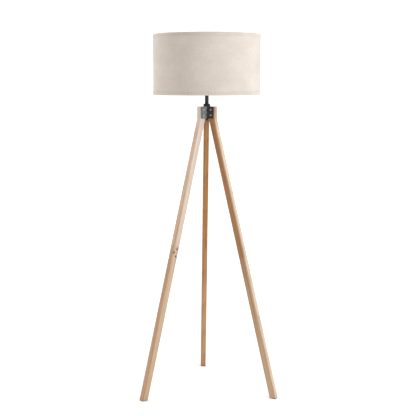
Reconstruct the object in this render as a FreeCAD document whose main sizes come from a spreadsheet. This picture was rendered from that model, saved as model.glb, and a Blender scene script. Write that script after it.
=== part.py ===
import FreeCAD, Part
import math
import os
import Sketcher

Vector = FreeCAD.Vector
Z_AXIS = Vector(0, 0, 1)
TOLERANCE = 0.001

# A tripod floor lamp. Its own axis is +Z, the floor is z = 0, and lengths are in millimetres.
# Each leg lies in a vertical plane through the axis, at its azimuth about +Z.
LEG_AZIMUTHS = {"back": 90, "left": 210, "right": 330}
# Each bent bracket plate fills the corner between two legs, so it faces halfway between them.
PLATE_AZIMUTHS = {"front": 270, "right": 30, "left": 150}

DRIVING_SIZES = {
    # the whole lamp
    "overall_height": 1520,
    "shade_diameter": 450,
    "shade_height": 250,
    "foot_radius": 330,
    # legs: solid wood bars in two lengths, half-lapped end to end
    "leg_depth": 27,
    "leg_width": 22.5,
    "leg_edge_radius": 1.2,
    "cut_margin": 1,
    "seam_height": 646,
    "lap_length": 56,
    "lap_gap": 0.4,
    "pad_height": 3,
    "pad_inset": 0.5,
    # three staggered screws in each lap, their heads let in flush
    "lap_screw_first": 13,
    "lap_screw_pitch": 15,
    "lap_screw_stagger": 6,
    "lap_screw_diameter": 4,
    "lap_screw_engagement": 7.5,
    "lap_head_diameter": 8,
    "lap_head_height": 2.2,
    "lap_key_size": 2.5,
    "insert_diameter": 6.5,
    "insert_length": 8,
    # bent plates that hold the tops of the legs
    "bracket_height": 50,
    "bracket_gauge": 2,
    "bend_radius": 2,
    "plate_corner_radius": 1.5,
    "wing_margin": 5.5,
    "bracket_screw_spacing": 22,
    "bracket_screw_inset": 10,
    "bracket_screw_diameter": 4,
    "bracket_screw_end_gap": 5,
    "bracket_head_diameter": 8.5,
    "bracket_head_height": 2.4,
    "bracket_key_size": 3,
    "sleeve_diameter": 6,
    "sleeve_end_gap": 2,
    "hole_clearance": 0.1,
    "crown_share": 0.6,
    "key_share": 0.6,
    "sleeve_end_wall": 1,
    # hub: the tube that the plates are welded to, and what clamps the pole to it
    "weld_depth": 0.3,
    "hub_wall": 3,
    "hub_gap": 1.1,
    "collar_overhang": 0.4,
    "collar_height": 11,
    "collar_bevel": 2.5,
    "collar_socket_depth": 5,
    "socket_clearance": 0.1,
    "washer_height": 2,
    "nut_flats": 17,
    "nut_height": 5,
    "nipple_diameter": 10,
    "nipple_bore": 7,
    "nipple_tail": 2,
    "thread_clearance": 0.05,
    "bush_diameter": 13,
    "bush_flange": 2.5,
    "bush_stub": 8,
    "bush_bevel": 1,
    "bush_bore": 5.6,
    # pole
    "pole_diameter": 16,
    "pole_wall": 1.5,
    "pole_showing": 37,
    "pole_inside_shade": 30,
    "pole_tap_depth": 14,
    "pole_tap_runout": 1,
    "nipple_engagement": 12,
    # lampholder with an E27 thread
    "cap_diameter": 37,
    "cap_neck_diameter": 17,
    "cap_neck_height": 6,
    "cap_height": 28,
    "cap_tap_depth": 8,
    "cap_dome_height": 9,
    "cap_dome_share": 0.72,
    "cap_dome_rise": 3.2,
    "cap_inner_bevel": 3,
    "holder_wall": 2,
    "skirt_diameter": 39.5,
    "skirt_height": 32,
    "skirt_tail": 5,
    "flange_diameter": 50,
    "flange_height": 2,
    "skirt_thread_pitch": 2.5,
    "skirt_thread_depth": 0.8,
    "skirt_thread_margin": 2,
    "groove_start_share": 0.3,
    "groove_end_share": 0.5,
    "groove_exit_share": 0.8,
    "base_diameter": 30,
    "base_height": 8,
    "terminal_margin": 3,
    "terminal_half_width": 3,
    "terminal_height": 3,
    "lamp_thread_diameter": 26.4,
    "lamp_thread_depth": 1.1,
    "lamp_thread_pitch": 3.6,
    "lamp_thread_turns": 5,
    "lamp_thread_margin": 2,
    "crest_start_share": 0.35,
    "crest_end_share": 0.65,
    "lamp_clearance": 0.35,
    "shell_gauge": 0.5,
    "contact_width": 5,
    "contact_gauge": 0.8,
    "contact_rise": 3,
    "contact_foot_reach": 8,
    "contact_foot_length": 4,
    "contact_shoulder": 3,
    "contact_tongue": 4,
    "contact_bend": 1,
    # threaded ring that clamps the shade to the lampholder
    "ring_diameter": 58,
    "ring_height": 9,
    "ring_grip_height": 2.5,
    "ring_step": 3,
    "ring_step_rise": 1,
    "ring_taper": 2,
    "ring_grip_count": 24,
    "ring_grip_radius": 1.6,
    "ring_grip_share": 0.4,
    # shade
    "fitter_clearance": 0.6,
    "fitter_width": 6,
    "fitter_height": 2,
    "arm_diameter": 4,
    "arm_trim_clearance": 0.5,
    "arm_trim_margin": 5,
    "arm_trim_height": 10,
    "notch_clearance": 0.5,
    "wire_diameter": 4,
    "liner_gauge": 0.8,
    "cloth_gauge": 0.5,
    "hem_gauge": 0.6,
    "hem_height": 15,
    "wire_clearance": 0.1,
    # bulb
    "bulb_diameter": 60,
    "bulb_length": 106,
    "bulb_wall": 1,
    "bulb_neck_diameter": 27,
    "bulb_neck_height": 8,
    "bulb_neck_tuck": 3,
    "bulb_neck_bevel": 1,
    "bulb_cap_gauge": 0.6,
    "bulb_tip_diameter": 10,
    "bulb_tip_height": 1.2,
    "bulb_tip_bevel": 1,
    "bulb_insulator_height": 3,
}

# The bulb's round part ends this far below its widest circle.
BALL_END = "40 deg"

# Places that follow from the driving sizes.
WORKED_OUT_SIZES = {
    "shade_radius": "shade_diameter / 2",
    "shade_bottom": "overall_height - shade_height",
    "collar_top": "shade_bottom - pole_showing",
    "bracket_top": "collar_top - collar_height",
    "bracket_bottom": "bracket_top - bracket_height",
    # A plate's bend bulges towards the axis as far as this radius.
    "plate_apex": "leg_width / 2 / sin(60 deg) + (bend_radius + bracket_gauge) * (1 / sin(60 deg) - 1)",
    "hub_radius": "plate_apex + weld_depth",
    "block_inner": "hub_radius + hub_gap",
    "block_outer": "block_inner + leg_depth",
    "wing_reach": "block_outer - wing_margin",
    "bracket_middle": "bracket_bottom + bracket_height / 2",
    "bracket_screw_radius": "block_inner + bracket_screw_inset",
    # Below the bracket a leg leans outwards by this slope.
    "lean_slope": "(foot_radius - block_outer) / (bracket_bottom - pad_height)",
    "lean_cos": "1 / sqrt(1 + lean_slope ^ 2)",
    "lean_sin": "lean_slope * lean_cos",
    "kink_drop": "leg_depth * lean_sin / (1 + lean_cos)",
    "seam_reach": "(bracket_bottom - seam_height) / lean_cos",
    "lap_end": "seam_reach + lap_length",
    "foot_inner": "foot_radius - leg_depth / lean_cos",
    "nipple_radius": "nipple_diameter / 2",
    "tapped_radius": "nipple_radius + thread_clearance",
    "collar_radius": "hub_radius + collar_overhang",
    "pole_radius": "pole_diameter / 2",
    "pole_bottom": "collar_top - collar_socket_depth",
    "pole_top": "shade_bottom + pole_inside_shade",
    "washer_bottom": "bracket_bottom - washer_height",
    "nut_bottom": "washer_bottom - nut_height",
    "nipple_bottom": "nut_bottom - nipple_tail",
    "cap_top": "pole_top + cap_height",
    "flange_top": "cap_top + flange_height",
    "skirt_radius": "skirt_diameter / 2",
    "skirt_top": "flange_top + skirt_height",
    "base_top": "cap_top - skirt_tail",
    "base_bottom": "base_top - base_height",
    "contact_top": "base_top + contact_gauge + contact_rise",
    "bulb_tip": "contact_top + lamp_clearance",
    "bulb_cap_bottom": "bulb_tip + bulb_tip_height + bulb_insulator_height",
    "lamp_thread_bottom": "bulb_cap_bottom + lamp_thread_margin",
    "lamp_thread_top": "lamp_thread_bottom + lamp_thread_turns * lamp_thread_pitch",
    "bulb_cap_top": "lamp_thread_top + lamp_thread_margin",
    "bulb_cap_inner": "lamp_thread_diameter / 2 - lamp_thread_depth - bulb_cap_gauge",
    "bulb_centre": "bulb_tip + bulb_length - bulb_diameter / 2",
    "lamp_thread_radius": "lamp_thread_diameter / 2",
    "fitter_bore": "skirt_radius + fitter_clearance",
    "fitter_radius": "fitter_bore + fitter_width",
    "liner_outer": "shade_radius - hem_gauge - cloth_gauge",
    "liner_inner": "liner_outer - liner_gauge",
    "wire_radius": "wire_diameter / 2",
    "wire_path": "liner_inner - wire_clearance - wire_radius",
    "wire_inset": "hem_gauge + wire_clearance + wire_radius",
    "hem_inner": "wire_path - wire_radius - wire_clearance - hem_gauge",
    "hem_tuck": "hem_gauge + 2 * wire_radius + 2 * wire_clearance + hem_gauge",
}


# ---- the sheet of sizes ----

def make_sheet(document):
    sheet = document.addObject("Spreadsheet::Sheet", "Sizes")
    rows = [(name, str(value)) for name, value in DRIVING_SIZES.items()]
    rows += [(name, "=" + formula) for name, formula in WORKED_OUT_SIZES.items()]
    for number, (name, content) in enumerate(rows, start=1):
        sheet.set(f"A{number}", name)
        sheet.set(f"B{number}", content)
        sheet.setAlias(f"B{number}", name)
    document.recompute()
    return sheet


doc = FreeCAD.newDocument("tripod_floor_lamp")
sizes = make_sheet(doc)


def named(expression):
    """The expression with each size's name led by the sheet's name."""
    words = []
    word = ""
    for letter in expression + " ":
        if letter.isalnum() or letter == "_":
            word += letter
            continue
        known = word in DRIVING_SIZES or word in WORKED_OUT_SIZES
        words.append(("Sizes." + word if known else word) + letter)
        word = ""
    return "".join(words).strip()


def value(expression):
    """The number, in millimetres, that an expression of sizes gives."""
    result = doc.getObject("Sizes").evalExpression(named(expression))
    return float(getattr(result, "Value", result))


# ---- helpers for bodies, sketches and features ----

def make_body(label):
    return doc.addObject("PartDesign::Body", label)


def origin_item(body, role):
    return next(item for item in body.Origin.OriginFeatures if item.Role == role)


def make_sketch(body, role, offset=None):
    """A sketch on one of the body's own planes; offset moves it along the plane's normal."""
    sketch = body.newObject("Sketcher::SketchObject", body.Name + "_sketch")
    sketch.AttachmentSupport = [(origin_item(body, role), "")]
    sketch.MapMode = "FlatFace"
    if offset:
        sketch.setExpression("AttachmentOffset.Base.z", named(offset))
    return sketch


def pin_point(sketch, geometry, vertex, x, y):
    """Hold one vertex of the sketch at (x, y), each given as an expression."""
    for kind, expression in (("DistanceX", x), ("DistanceY", y)):
        constraint = Sketcher.Constraint(kind, -1, 1, geometry, vertex, value(expression))
        index = sketch.addConstraint(constraint)
        sketch.setExpression(f"Constraints[{index}]", named(expression))


def draw_outline(sketch, points):
    """A closed outline. A point is (x, y), or (x, y, (x, y)) where the side that leaves it is
    an arc through the second pair."""
    first = sketch.GeometryCount
    corners = [Vector(value(point[0]), value(point[1]), 0) for point in points]
    side_ends = []
    for number, point in enumerate(points):
        start = corners[number]
        end = corners[(number + 1) % len(points)]
        ends = (1, 2)
        if len(point) == 3:
            through = Vector(value(point[2][0]), value(point[2][1]), 0)
            # A sketch's arcs run anticlockwise, so a clockwise side is drawn from its far end.
            if (through - start).cross(end - through).z < 0:
                ends = (2, 1)
                edge = Part.Arc(end, through, start)
            else:
                edge = Part.Arc(start, through, end)
        else:
            edge = Part.LineSegment(start, end)
        sketch.addGeometry(edge, False)
        side_ends.append(ends)
    for number, point in enumerate(points):
        following = (number + 1) % len(points)
        joint = Sketcher.Constraint("Coincident", first + number, side_ends[number][1],
                                    first + following, side_ends[following][0])
        sketch.addConstraint(joint)
    for number, point in enumerate(points):
        pin_point(sketch, first + number, side_ends[number][0], point[0], point[1])
        if len(point) == 3:
            hold_arc(sketch, first + number, point[2])


def hold_arc(sketch, geometry, through):
    """Make the arc pass through a point that is itself pinned."""
    place = Vector(value(through[0]), value(through[1]), 0)
    point = sketch.addGeometry(Part.Point(place), True)
    pin_point(sketch, point, 1, through[0], through[1])
    sketch.addConstraint(Sketcher.Constraint("PointOnObject", point, 1, geometry))


def draw_circle(sketch, x, y, radius):
    place = Vector(value(x), value(y), 0)
    circle = sketch.addGeometry(Part.Circle(place, Z_AXIS, value(radius)), False)
    pin_point(sketch, circle, 3, x, y)
    index = sketch.addConstraint(Sketcher.Constraint("Radius", circle, value(radius)))
    sketch.setExpression(f"Constraints[{index}]", named(radius))


def draw_hexagon(sketch, x, y, flats):
    """A hexagon of the given size across its flats, with two corners level with its centre."""
    corner = f"({flats}) / sqrt(3)"
    points = []
    for number in range(6):
        points.append((f"{x} + {corner} * cos({60 * number} deg)",
                       f"{y} + {corner} * sin({60 * number} deg)"))
    draw_outline(sketch, points)


def add_pad(body, sketch, length, side="forward"):
    """side is forward (along the sketch's normal), backward, or both for half each way."""
    pad = body.newObject("PartDesign::Pad", body.Name + "_pad")
    pad.Profile = sketch
    pad.setExpression("Length", named(length))
    pad.Midplane = side == "both"
    pad.Reversed = side == "backward"
    doc.recompute()
    return pad


def add_pocket(body, sketch, depth=None, side="backward"):
    """Cut the sketch out of the body, right through unless a depth is given. side is backward
    (against the sketch's normal), forward, or both."""
    before = body.Shape.Volume
    pocket = body.newObject("PartDesign::Pocket", body.Name + "_pocket")
    pocket.Profile = sketch
    if depth is None:
        pocket.Type = "ThroughAll"
    else:
        pocket.setExpression("Length", named(depth))
    pocket.Midplane = side == "both"
    pocket.Reversed = side == "forward"
    doc.recompute()
    if not body.Shape.Volume < before - 0.01:
        raise RuntimeError(f"{pocket.Name} cuts nothing")
    return pocket


def add_fillet(body, radius, keep):
    """Round the edges for which keep(edge) is true."""
    feature = body.Tip
    edges = [f"Edge{number}" for number, edge in enumerate(feature.Shape.Edges, start=1)
             if keep(edge)]
    if not edges:
        raise RuntimeError(f"{body.Name} has no edge to round")
    fillet = body.newObject("PartDesign::Fillet", body.Name + "_fillet")
    fillet.Base = (feature, edges)
    fillet.setExpression("Radius", named(radius))
    doc.recompute()
    return fillet


def turned(label, outline):
    """A body turned about the lamp's axis from an outline of (radius, height) points."""
    body = make_body(label)
    sketch = make_sketch(body, "XZ_Plane")
    draw_outline(sketch, outline)
    revolution = body.newObject("PartDesign::Revolution", label + "_revolution")
    revolution.Profile = sketch
    revolution.ReferenceAxis = (sketch, ["V_Axis"])
    revolution.Angle = 360
    doc.recompute()
    return body


def ring_outline(inner, outer, bottom, top):
    return [(inner, bottom), (outer, bottom), (outer, top), (inner, top)]


def turn_to(azimuth, item):
    item.Placement = FreeCAD.Placement(Vector(0, 0, 0), FreeCAD.Rotation(Z_AXIS, azimuth))


def is_round_at(edge, offset):
    """True for a circle that lies in the plane y = offset."""
    if not isinstance(edge.Curve, Part.Circle):
        return False
    return abs(edge.Curve.Axis.y) > 0.999 and abs(edge.Curve.Center.y - offset) < TOLERANCE


# ---- legs ----
# A leg is drawn in its own plane: x is the distance from the lamp's axis and y the height.
# Seen from the axis, its left side is +y, which lies behind the sketch.

def on_leg(along, across):
    """A point of the leaning part: its distance down the leg from the bracket's lower edge and
    its distance outwards from the leg's outer face."""
    x = f"block_outer + ({along}) * lean_sin + ({across}) * lean_cos"
    y = f"bracket_bottom - ({along}) * lean_cos + ({across}) * lean_sin"
    return x, y


def lap_screw_places():
    """The three staggered screws of a lap, first and last nearer to the leg's inner face."""
    places = []
    for number, sign in enumerate(("-", "+", "-")):
        along = f"seam_reach + lap_screw_first + {number} * lap_screw_pitch"
        across = f"0 - leg_depth / 2 {sign} lap_screw_stagger"
        places.append(on_leg(along, across))
    return places


def bracket_screw_places():
    """The two screws that hold a leg's top in the bracket."""
    return [("bracket_screw_radius", "bracket_middle + bracket_screw_spacing / 2"),
            ("bracket_screw_radius", "bracket_middle - bracket_screw_spacing / 2")]


def lap_window(upper_end, lower_end):
    """A rectangle across the leg that is a little wider than it."""
    inner = "0 - leg_depth - cut_margin"
    return [on_leg(upper_end, "cut_margin"), on_leg(lower_end, "cut_margin"),
            on_leg(lower_end, inner), on_leg(upper_end, inner)]


def is_long_leg_edge(edge):
    """True for the edges that run the length of a leg, on its four outer corners."""
    half = value("leg_width / 2")
    ends = [vertex.Point for vertex in edge.Vertexes]
    on_side = all(abs(abs(end.y) - half) < TOLERANCE for end in ends)
    return on_side and edge.Length > value("leg_depth") * 1.3


def cut_holes(body, places, radius, side="both", depth=None, offset=None):
    sketch = make_sketch(body, "XZ_Plane", offset)
    for x, y in places:
        draw_circle(sketch, x, y, radius)
    add_pocket(body, sketch, depth, side)


def upper_leg(side, azimuth):
    body = make_body(f"upper_leg_{side}")
    sketch = make_sketch(body, "XZ_Plane")
    draw_outline(sketch, [
        ("block_outer", "bracket_top"),
        ("block_outer", "bracket_bottom"),
        on_leg("lap_end - lap_gap", "0"),
        on_leg("lap_end - lap_gap", "0 - leg_depth"),
        ("block_inner", "bracket_bottom - kink_drop"),
        ("block_inner", "bracket_top"),
    ])
    add_pad(body, sketch, "leg_width", "both")
    add_fillet(body, "leg_edge_radius", is_long_leg_edge)
    # The half-lap leaves the tongue on the leg's right.
    lap = make_sketch(body, "XZ_Plane")
    draw_outline(lap, lap_window("seam_reach", "lap_end + cut_margin"))
    add_pocket(body, lap)
    cut_holes(body, lap_screw_places(), "insert_diameter / 2", "forward", "insert_length")
    cut_holes(body, bracket_screw_places(), "sleeve_diameter / 2 + hole_clearance")
    turn_to(azimuth, body)
    return body


def lower_leg(side, azimuth):
    body = make_body(f"lower_leg_{side}")
    sketch = make_sketch(body, "XZ_Plane")
    draw_outline(sketch, [
        on_leg("seam_reach + lap_gap", "0"),
        ("foot_radius", "pad_height"),
        ("foot_inner", "pad_height"),
        on_leg("seam_reach + lap_gap", "0 - leg_depth"),
    ])
    add_pad(body, sketch, "leg_width", "both")
    add_fillet(body, "leg_edge_radius", is_long_leg_edge)
    # The half-lap leaves the tongue on the leg's left, where the screws go in.
    lap = make_sketch(body, "XZ_Plane")
    draw_outline(lap, lap_window("seam_reach - cut_margin", "lap_end"))
    add_pocket(body, lap, side="forward")
    cut_holes(body, lap_screw_places(), "lap_screw_diameter / 2 + hole_clearance", "backward")
    cut_holes(body, lap_screw_places(), "lap_head_diameter / 2 + hole_clearance", "forward",
              "lap_head_height", "0 - leg_width / 2")
    turn_to(azimuth, body)
    return body


def foot_pad(side, azimuth):
    body = make_body(f"foot_pad_{side}")
    sketch = make_sketch(body, "XY_Plane")
    inner = "foot_inner + pad_inset"
    outer = "foot_radius - pad_inset"
    half = "leg_width / 2 - pad_inset"
    draw_outline(sketch, [(inner, f"0 - ({half})"), (outer, f"0 - ({half})"),
                          (outer, half), (inner, half)])
    add_pad(body, sketch, "pad_height")
    turn_to(azimuth, body)
    return body


# ---- screws through the legs ----
# They lie along the leg's y axis. A sketch on the XZ plane faces -y, so offsets are negated.

def button_screws(label, places, azimuth, seat, shank_radius, shank_length, head_radius,
                  head_height, key_size):
    """Screws whose heads sit on the plane y = seat and whose shanks run towards -y."""
    body = make_body(label)
    heads = make_sketch(body, "XZ_Plane", f"0 - ({seat})")
    for x, y in places:
        draw_circle(heads, x, y, head_radius)
    add_pad(body, heads, head_height, "backward")
    crown = value(seat) + value(head_height)
    add_fillet(body, f"{head_height} * crown_share", lambda edge: is_round_at(edge, crown))
    keys = make_sketch(body, "XZ_Plane", f"0 - ({seat}) - {head_height}")
    for x, y in places:
        draw_hexagon(keys, x, y, key_size)
    add_pocket(body, keys, f"{head_height} * key_share", "forward")
    shanks = make_sketch(body, "XZ_Plane", f"0 - ({seat})")
    for x, y in places:
        draw_circle(shanks, x, y, shank_radius)
    add_pad(body, shanks, shank_length)
    turn_to(azimuth, body)
    return body


def lap_screws(side, azimuth):
    seat = "leg_width / 2 - lap_head_height"
    return button_screws(
        f"lap_screws_{side}", lap_screw_places(), azimuth, seat,
        "lap_screw_diameter / 2", f"{seat} + lap_screw_engagement",
        "lap_head_diameter / 2", "lap_head_height", "lap_key_size")


def lap_inserts(side, azimuth):
    """Threaded sleeves let into the upper leg's tongue from the joint, so they don't show."""
    body = make_body(f"lap_inserts_{side}")
    sketch = make_sketch(body, "XZ_Plane")
    for x, y in lap_screw_places():
        draw_circle(sketch, x, y, "insert_diameter / 2")
        draw_circle(sketch, x, y, "lap_screw_diameter / 2 + thread_clearance")
    add_pad(body, sketch, "insert_length")
    turn_to(azimuth, body)
    return body


def bracket_screws(side, azimuth):
    return button_screws(
        f"bracket_screws_{side}", bracket_screw_places(), azimuth, "leg_width / 2 + bracket_gauge",
        "bracket_screw_diameter / 2", "leg_width + bracket_gauge - bracket_screw_end_gap",
        "bracket_head_diameter / 2", "bracket_head_height", "bracket_key_size")


def sleeve_nuts(side, azimuth):
    """Long nuts that fill the leg's holes from the right and take the bracket screws."""
    body = make_body(f"sleeve_nuts_{side}")
    seat = "leg_width / 2 + bracket_gauge"
    heads = make_sketch(body, "XZ_Plane", seat)
    for x, y in bracket_screw_places():
        draw_circle(heads, x, y, "bracket_head_diameter / 2")
    add_pad(body, heads, "bracket_head_height")
    crown = -value(seat) - value("bracket_head_height")
    add_fillet(body, "bracket_head_height * crown_share", lambda edge: is_round_at(edge, crown))
    barrels = make_sketch(body, "XZ_Plane", seat)
    for x, y in bracket_screw_places():
        draw_circle(barrels, x, y, "sleeve_diameter / 2")
    add_pad(body, barrels, "leg_width + bracket_gauge - sleeve_end_gap", "backward")
    bores = make_sketch(body, "XZ_Plane", "0 - leg_width / 2 + sleeve_end_gap")
    for x, y in bracket_screw_places():
        draw_circle(bores, x, y, "bracket_screw_diameter / 2 + thread_clearance")
    add_pocket(body, bores, "leg_width - sleeve_end_gap - sleeve_end_wall", "forward")
    turn_to(azimuth, body)
    return body


# ---- bracket and hub ----

def beside_leg(along, away, sign):
    """A point of a plate's section. The plate faces +x, and its wings lie along legs 60 degrees
    to either side; sign picks the wing, and away is measured from that leg's own plane."""
    x = f"({along}) * cos(60 deg) + ({away}) * sin(60 deg)"
    y = f"{sign} * (({along}) * sin(60 deg) - ({away}) * cos(60 deg))"
    return x, y


def bracket_plate(side, azimuth):
    body = make_body(f"bracket_plate_{side}")
    sketch = make_sketch(body, "XY_Plane", "bracket_bottom")
    near = "leg_width / 2"
    far = "leg_width / 2 + bracket_gauge"
    draw_outline(sketch, [
        beside_leg("wing_reach", near, 1),
        (f"{near} / sin(60 deg)", "0"),
        beside_leg("wing_reach", near, -1),
        beside_leg("wing_reach", far, -1),
        (f"({far}) / sin(60 deg)", "0"),
        beside_leg("wing_reach", far, 1),
    ])
    add_pad(body, sketch, "bracket_height")

    def bend_edge(x):
        return lambda edge: (edge.Length > value("bracket_height") * 0.9
                             and all(abs(v.Point.y) < TOLERANCE and abs(v.Point.x - x) < TOLERANCE
                                     for v in edge.Vertexes))

    add_fillet(body, "bend_radius + bracket_gauge", bend_edge(value(f"{near} / sin(60 deg)")))
    add_fillet(body, "bend_radius", bend_edge(value(f"({far}) / sin(60 deg)")))
    add_fillet(body, "plate_corner_radius", lambda edge: (
        abs(edge.Length - value("bracket_gauge")) < TOLERANCE
        and min(math.hypot(v.Point.x, v.Point.y) for v in edge.Vertexes) > value("block_inner")))
    for sign in (1, -1):
        across = Vector(math.sin(math.radians(60)), -sign * math.cos(math.radians(60)), 0)
        for x, y in bracket_screw_places():
            start_x, start_y = beside_leg(x, "0", sign)
            hole = body.newObject("PartDesign::SubtractiveCylinder", body.Name + "_hole")
            hole.setExpression("Radius", named("sleeve_diameter / 2 + hole_clearance"))
            hole.setExpression("Height", named("leg_width"))
            start = Vector(value(start_x), value(start_y), value(y))
            hole.Placement = FreeCAD.Placement(start, FreeCAD.Rotation(Z_AXIS, across))
            doc.recompute()
    turn_to(azimuth, body)
    return body


def hub_tube(plates):
    """The tube in the middle, grooved where the three plates' bends are welded to it."""
    blank = turned("hub_tube_blank", ring_outline(
        "hub_radius - hub_wall", "hub_radius", "bracket_bottom", "bracket_top"))
    welded = doc.addObject("Part::Compound", "plates_on_hub")
    welded.Links = plates
    tube = doc.addObject("Part::Cut", "hub_tube")
    tube.Base = blank
    tube.Tool = welded
    return tube


def pole_collar():
    return turned("pole_collar", [
        ("tapped_radius", "bracket_top"),
        ("collar_radius", "bracket_top"),
        ("collar_radius", "collar_top - collar_bevel"),
        ("collar_radius - collar_bevel", "collar_top"),
        ("pole_radius + socket_clearance", "collar_top"),
        ("pole_radius + socket_clearance", "pole_bottom"),
        ("tapped_radius", "pole_bottom"),
    ])


def pole():
    inner = "pole_radius - pole_wall"
    return turned("pole", [
        ("tapped_radius", "pole_bottom"),
        ("pole_radius", "pole_bottom"),
        ("pole_radius", "pole_top"),
        ("tapped_radius", "pole_top"),
        ("tapped_radius", "pole_top - pole_tap_depth"),
        (inner, "pole_top - pole_tap_depth - pole_tap_runout"),
        (inner, "pole_bottom + pole_tap_depth + pole_tap_runout"),
        ("tapped_radius", "pole_bottom + pole_tap_depth"),
    ])


def hub_nipple():
    return turned("hub_nipple", ring_outline(
        "nipple_bore / 2", "nipple_radius", "nipple_bottom", "pole_bottom + nipple_engagement"))


def hub_washer():
    return turned("hub_washer", ring_outline(
        "tapped_radius", "collar_radius", "washer_bottom", "bracket_bottom"))


def hub_nut():
    body = make_body("hub_nut")
    sketch = make_sketch(body, "XY_Plane", "nut_bottom")
    draw_hexagon(sketch, "0", "0", "nut_flats")
    draw_circle(sketch, "0", "0", "tapped_radius")
    add_pad(body, sketch, "nut_height")
    return body


def cord_bush():
    """The bush that lines the nipple's lower end where the supply cord comes in."""
    stub = "nipple_bore / 2 - thread_clearance"
    return turned("cord_bush", [
        ("bush_bore / 2", "nipple_bottom - bush_flange"),
        ("bush_diameter / 2 - bush_bevel", "nipple_bottom - bush_flange"),
        ("bush_diameter / 2", "nipple_bottom - bush_flange + bush_bevel"),
        ("bush_diameter / 2", "nipple_bottom"),
        (stub, "nipple_bottom"),
        (stub, "nipple_bottom + bush_stub"),
        ("bush_bore / 2", "nipple_bottom + bush_stub"),
    ])


# ---- lampholder ----

def holder_nipple():
    return turned("holder_nipple", ring_outline(
        "nipple_bore / 2", "nipple_radius",
        "pole_top - nipple_engagement", "pole_top + cap_tap_depth"))


def holder_cap():
    """A domed cap with a tapped neck; the skirt's tail plugs into its mouth."""
    outer = "cap_diameter / 2"
    inner = "cap_diameter / 2 - holder_wall"
    neck = "cap_neck_diameter / 2"
    neck_top = "pole_top + cap_neck_height"
    dome_foot = f"{neck_top} + cap_dome_height"
    return turned("holder_cap", [
        ("tapped_radius", "pole_top"),
        (neck, "pole_top"),
        (neck, neck_top, (f"({neck}) + (({outer}) - ({neck})) * cap_dome_share",
                          f"{neck_top} + cap_dome_rise")),
        (outer, dome_foot),
        (outer, "cap_top"),
        (inner, "cap_top"),
        (inner, dome_foot),
        (f"({inner}) - cap_inner_bevel", f"{neck_top} + 2 * holder_wall"),
        ("tapped_radius", f"{neck_top} + holder_wall"),
    ])


def holder_base():
    """The ceramic disc inside the cap; it carries the screw shell and the contacts."""
    return turned("holder_base", ring_outline(
        "nipple_bore / 2", "base_diameter / 2", "base_bottom", "base_top"))


def holder_terminals():
    """Two brass terminal blocks that hang under the ceramic disc, where the wires come in."""
    body = make_body("holder_terminals")
    sketch = make_sketch(body, "XY_Plane", "base_bottom")
    for sign in (1, -1):
        near = f"{sign} * (nipple_bore / 2 + terminal_margin)"
        away = f"{sign} * (base_diameter / 2 - terminal_margin)"
        right, left = "0 - terminal_half_width", "terminal_half_width"
        draw_outline(sketch, [(near, right), (away, right), (away, left), (near, left)])
    add_pad(body, sketch, "terminal_height", "backward")
    return body


def thread_outline(radius):
    """The rings of a lamp thread going up: a root, then a flat crest, for each turn."""
    root = f"({radius}) - lamp_thread_depth"
    points = []
    for number in range(int(value("lamp_thread_turns"))):
        foot = f"lamp_thread_bottom + {number} * lamp_thread_pitch"
        points.append((root, foot))
        points.append((radius, f"{foot} + lamp_thread_pitch * crest_start_share"))
        points.append((radius, f"{foot} + lamp_thread_pitch * crest_end_share"))
    points.append((root, "lamp_thread_top"))
    return points


def threaded_shell(label, radius, gauge, bottom, top):
    """A thin metal tube pressed into thread rings, the same outline inside and out. The bulb's
    rings and the lampholder's lie at the same heights."""
    outside = thread_outline(radius)
    inside = thread_outline(f"({radius}) - ({gauge})")
    outside_root = f"({radius}) - lamp_thread_depth"
    inside_root = f"({radius}) - ({gauge}) - lamp_thread_depth"
    outline = [(outside_root, bottom)] + outside
    if value(top) > value("lamp_thread_top"):
        outline += [(outside_root, top), (inside_root, top)]
    outline += inside[::-1] + [(inside_root, bottom)]
    return turned(label, outline)


def screw_shell():
    """The lampholder's own thread, wide enough to take the bulb's cap."""
    return threaded_shell(
        "screw_shell", "lamp_thread_radius + lamp_clearance + shell_gauge", "shell_gauge",
        "base_top", "lamp_thread_top")


def centre_contact():
    """A sprung strip under the bulb's tip, folded over from its foot on the ceramic disc."""
    body = make_body("centre_contact")
    sketch = make_sketch(body, "XZ_Plane")
    foot_end = "0 - contact_foot_reach + contact_foot_length"
    draw_outline(sketch, [
        ("0 - contact_foot_reach", "base_top"),
        (foot_end, "base_top"),
        (foot_end, "base_top + contact_gauge"),
        ("0 - contact_foot_reach + contact_bend", "base_top + contact_gauge"),
        ("0 - contact_shoulder", "contact_top - contact_gauge"),
        ("contact_tongue", "contact_top - contact_gauge"),
        ("contact_tongue", "contact_top"),
        ("0 - contact_shoulder - contact_bend / 2", "contact_top"),
    ])
    add_pad(body, sketch, "contact_width", "both")
    return body


def holder_skirt():
    """The outer skirt: its flange carries the shade and its thread takes the clamping ring."""
    tail = "cap_diameter / 2 - holder_wall - socket_clearance"
    inner = "cap_diameter / 2 - 2 * holder_wall - socket_clearance"
    outline = [
        (inner, "cap_top - skirt_tail"),
        (tail, "cap_top - skirt_tail"),
        (tail, "cap_top"),
        ("flange_diameter / 2", "cap_top"),
        ("flange_diameter / 2", "flange_top"),
        ("skirt_radius", "flange_top"),
    ]
    root = "skirt_radius - skirt_thread_depth"
    groove_count = int(value(
        "(skirt_height - fitter_height - 2 * skirt_thread_margin) / skirt_thread_pitch"))
    for number in range(groove_count):
        foot = f"flange_top + fitter_height + skirt_thread_margin + {number} * skirt_thread_pitch"
        outline.append(("skirt_radius", foot))
        outline.append((root, f"{foot} + skirt_thread_pitch * groove_start_share"))
        outline.append((root, f"{foot} + skirt_thread_pitch * groove_end_share"))
        outline.append(("skirt_radius", f"{foot} + skirt_thread_pitch * groove_exit_share"))
    outline += [("skirt_radius", "skirt_top"), (inner, "skirt_top")]
    return turned("holder_skirt", outline)


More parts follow.
